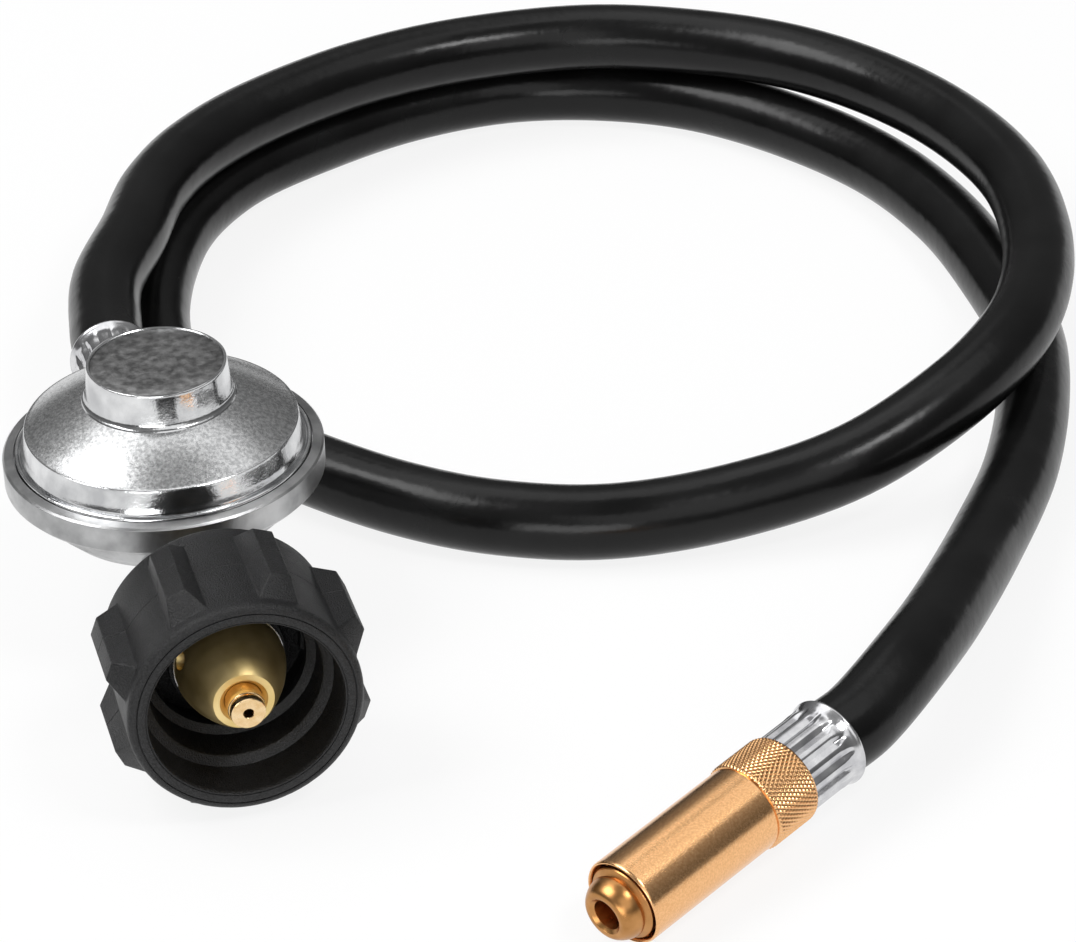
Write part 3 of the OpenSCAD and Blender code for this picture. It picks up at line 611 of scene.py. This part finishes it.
def fluted(r, z, a):
    if r < BORE_LIMIT_R or z > FLUTE_END + 0.1:
        return r
    off = abs((a / (2 * math.pi) * FLUTES + 0.5) % 1 - 0.5) * 2
    run_out = min(1.0, max(0.0, (FLUTE_END - z) / RUN_OUT))
    run_in = min(1.0, z / RUN_IN)
    width = FLUTE_SHARE * (0.55 + 0.45 * run_out)
    deep = FLUTE_DEPTH * run_out ** 0.6 * run_in
    return r - deep * max(0.0, 1 - off / width) ** 0.8


def ringed(rings, segments, cut):
    bm = bmesh.new()
    z, r = rings[0][:2]
    bmesh.ops.create_circle(bm, cap_ends=False, segments=segments, radius=r)
    bmesh.ops.translate(bm, verts=bm.verts, vec=(0, 0, z))
    edges = list(bm.edges)
    for z, r, *share in rings[1:]:
        fresh, edges = grow(bm, edges)
        for v in fresh:
            a = math.atan2(v.co.y, v.co.x)
            q = cut(r, z, a, *share)
            v.co = (q * math.cos(a), q * math.sin(a), z)
    bmesh.ops.remove_doubles(bm, verts=bm.verts, dist=0.0005)
    bmesh.ops.recalc_face_normals(bm, faces=bm.faces)
    return bm


def ferrule():
    return ringed(sleeve, FLUTES * PER_FLUTE, fluted)


ferrule_steel, n, l, s = principled("ferrule_steel", (0.74, 0.74, 0.76), 1.0, 0.16)
cloud = grain(n, l, 260, 4)
speck = grain(n, l, 2400, 3)
tint(n, l, s, cloud.outputs[0], (0.52, 0.52, 0.54), (0.72, 0.72, 0.73), 0.35, 0.65)
l.new(spread(n, l, cloud.outputs[0], 0.16, 0.22), s.inputs["Roughness"])
b1 = relief(n, l, s, cloud.outputs[0], 0.0001, 0.3)
relief(n, l, s, speck.outputs[0], 0.00002, 0.3, b1)
OUTLET_END, UNION_BACK = 42.5 * MM, -37.6 * MM
settle(ferrule(), "regulator_ferrule", astern @ Matrix.Translation((0, 0, OUTLET_END)),
       [ferrule_steel], "regulator_and_hose", ["outlet_ferrule"], 50)
end_ferrule = settle(ferrule(), "union_ferrule",
                     union_at @ Matrix.Translation((0, 0, UNION_BACK))
                     @ Matrix.Rotation(math.pi, 4, "X"),
                     [ferrule_steel], "regulator_and_hose", ["end_ferrule"], 50)

# ---- Union stem --------------------------------------------------------------------------------
# Turned brass stem inside the union nut: barbs in the hose, neck, stop collar and the rounded
# nose with its seal groove and chamfered gas bore.
stem_line = [(3.0, -55.6), (4.55, -55.6), (4.75, -55.4), (4.75, -50.1), (5.1, -47.6), (4.75, -47.6),
             (4.75, -46.1), (5.1, -43.6), (4.75, -43.6), (4.75, -37.6), (5.0, -37.6), (5.0, -27.5),
             (7.0, -27.5), (7.0, -25.5), (6.2, -25.5), (6.2, -4.65), (7.2, -4.25), (7.35, -4.1),
             (7.35, -2.9), (7.25, -2.8), (5.5, -2.8), (5.5, -1.2), (7.25, -1.2), (7.35, -1.1),
             (7.35, -0.1), (7.2, 0.12), (6.5, 0.35), (6.12, 0.6), (6.2, 0.85), (6.34, 1.02),
             (6.4, 1.25), (6.36, 1.7), (6.22, 2.3), (6.0, 2.95), (5.7, 3.55), (5.3, 4.15),
             (4.95, 4.52), (4.7, 4.69), (4.45, 4.78), (4.2, 4.8), (3.85, 4.8), (3.68, 4.76),
             (3.6, 4.66), (3.02, 4.16), (3.0, 4.1)]
bm = turned(stem_line, 128)
stem_brass, n, l, s = principled("stem_brass", (0.5, 0.25, 0.085), 1.0, 0.3)
cloud = grain(n, l, 300, 3)
tint(n, l, s, cloud.outputs[0], (0.42, 0.2, 0.065), (0.55, 0.275, 0.1), 0.35, 0.65)
l.new(spread(n, l, cloud.outputs[0], 0.27, 0.33), s.inputs["Roughness"])
relief(n, l, s, cloud.outputs[0], 0.00002, 0.3)
end_stem = settle(bm, "union_stem", union_at, [stem_brass], "regulator_and_hose", ["end_stem"],
                  30)

# ---- Union nut ---------------------------------------------------------------------------------
# Brass barrel with fine lathe marks and a grip ring cut with a diamond knurl; it slides and turns
# on the stem.
DIAMONDS, STEPS_PER, DIAMOND_LENGTH, TOOTH = 64, 6, 3.0, 0.3
BAND_BACK, BAND_R, RING_STEP, BAND_RINGS = -44.0, 9.17, 0.15, 69
rows = [(-44.4, 8.45, 0), (-44.4, 8.75, 0), (-44.3, 8.85, 0), (-44.05, 9.0, 0.5)]
rows += [(BAND_BACK + RING_STEP * k, BAND_R, 1) for k in range(BAND_RINGS)]
rows += [(-33.6, 9.0, 0.5), (-33.42, 8.82, 0), (-33.36, 8.6, 0), (-33.2, 8.6, 0), (-33.1, 8.65, 0),
         (-33.0, 8.65, 0), (-32.7, 8.65, 0), (-16, 8.65, 0), (-1.0, 8.65, 0), (-0.65, 8.65, 0),
         (-0.55, 8.65, 0), (-0.3, 8.58, 0),
         (-0.08, 8.44, 0), (0.0, 8.34, 0), (0.0, 8.24, 0), (-0.1, 8.14, 0), (-0.4, 7.88, 0),
         (-0.5, 7.85, 0), (-34.95, 7.85, 0), (-34.95, 8.2, 0), (-36.05, 8.2, 0), (-36.05, 7.85, 0),
         (-37.1, 7.85, 0), (-37.1, 8.45, 0), (-44.4, 8.45, 0)]


def knurled(r, z, a, share):
    turn = a / (2 * math.pi) * DIAMONDS
    climb = z / (DIAMOND_LENGTH / 2)
    right = abs((turn + climb) % 1 * 2 - 1)
    left = abs((turn - climb) % 1 * 2 - 1)
    return r - TOOTH * share * max(right, left)


bm = ringed(rows, DIAMONDS * STEPS_PER, knurled)
union_brass, n, l, s = principled("union_brass", (0.87, 0.49, 0.23), 1.0, 0.22)
cloud = grain(n, l, 2400, 3)
tint(n, l, s, cloud.outputs[0], (0.81, 0.44, 0.195), (0.93, 0.54, 0.26), 0.35, 0.65)
l.new(spread(n, l, cloud.outputs[0], 0.2, 0.25), s.inputs["Roughness"])
turn_in = n.new("ShaderNodeTexCoord")
along = n.new("ShaderNodeVectorMath")
along.operation = "DOT_PRODUCT"
along.inputs[1].default_value = tuple(union_axis)
l.new(turn_in.outputs["Object"], along.inputs[0])
marks = n.new("ShaderNodeTexNoise")
marks.noise_dimensions = "1D"
marks.inputs["Scale"].default_value = 5200
marks.inputs["Detail"].default_value = 3
l.new(along.outputs["Value"], marks.inputs["W"])
b1 = relief(n, l, s, marks.outputs[0], 0.00002, 0.4)
relief(n, l, s, cloud.outputs[0], 0.00002, 0.5, b1)
union_nut = settle(bm, "brass_union_nut", union_at, [union_brass], "union", ["union_nut"],
                   40)

# ---- Small and inner pieces --------------------------------------------------------------------
# They keep the solid model's shape: turned brass, spring and lever steel, plain rubber.
plain_steel, n, l, s = principled("plain_steel", (0.6, 0.6, 0.62), 1.0, 0.35)
speck = grain(n, l, 1400, 3)
tint(n, l, s, speck.outputs[0], (0.5, 0.5, 0.52), (0.68, 0.68, 0.7))
relief(n, l, s, speck.outputs[0], 0.00003, 0.4)
plain_brass, n, l, s = principled("plain_brass", (0.7, 0.5, 0.24), 1.0, 0.3)
speck = grain(n, l, 900, 3)
tint(n, l, s, speck.outputs[0], (0.6, 0.42, 0.19), (0.76, 0.56, 0.3))
relief(n, l, s, speck.outputs[0], 0.00003, 0.4)
plain_rubber, n, l, s = principled("plain_rubber", (0.02, 0.02, 0.02), 0.0, 0.6)
speck = grain(n, l, 1200, 3)
tint(n, l, s, speck.outputs[0], (0.014, 0.014, 0.014), (0.03, 0.03, 0.03))
relief(n, l, s, speck.outputs[0], 0.00004, 0.4)
# The zinc pieces share the zinc with its painted shade.
finish_of = {"steel": plain_steel, "dull_steel": cap_grey, "brass": plain_brass,
             "rubber": plain_rubber, "zinc": cast_zinc_painted_shade, "nylon": nut_nylon}
for part in frame["record"]["subparts"]:
    ob = frame["nodes"][part["node"]]
    ob.data.materials.clear()
    ob.data.materials.append(finish_of[part["material_slot"]])
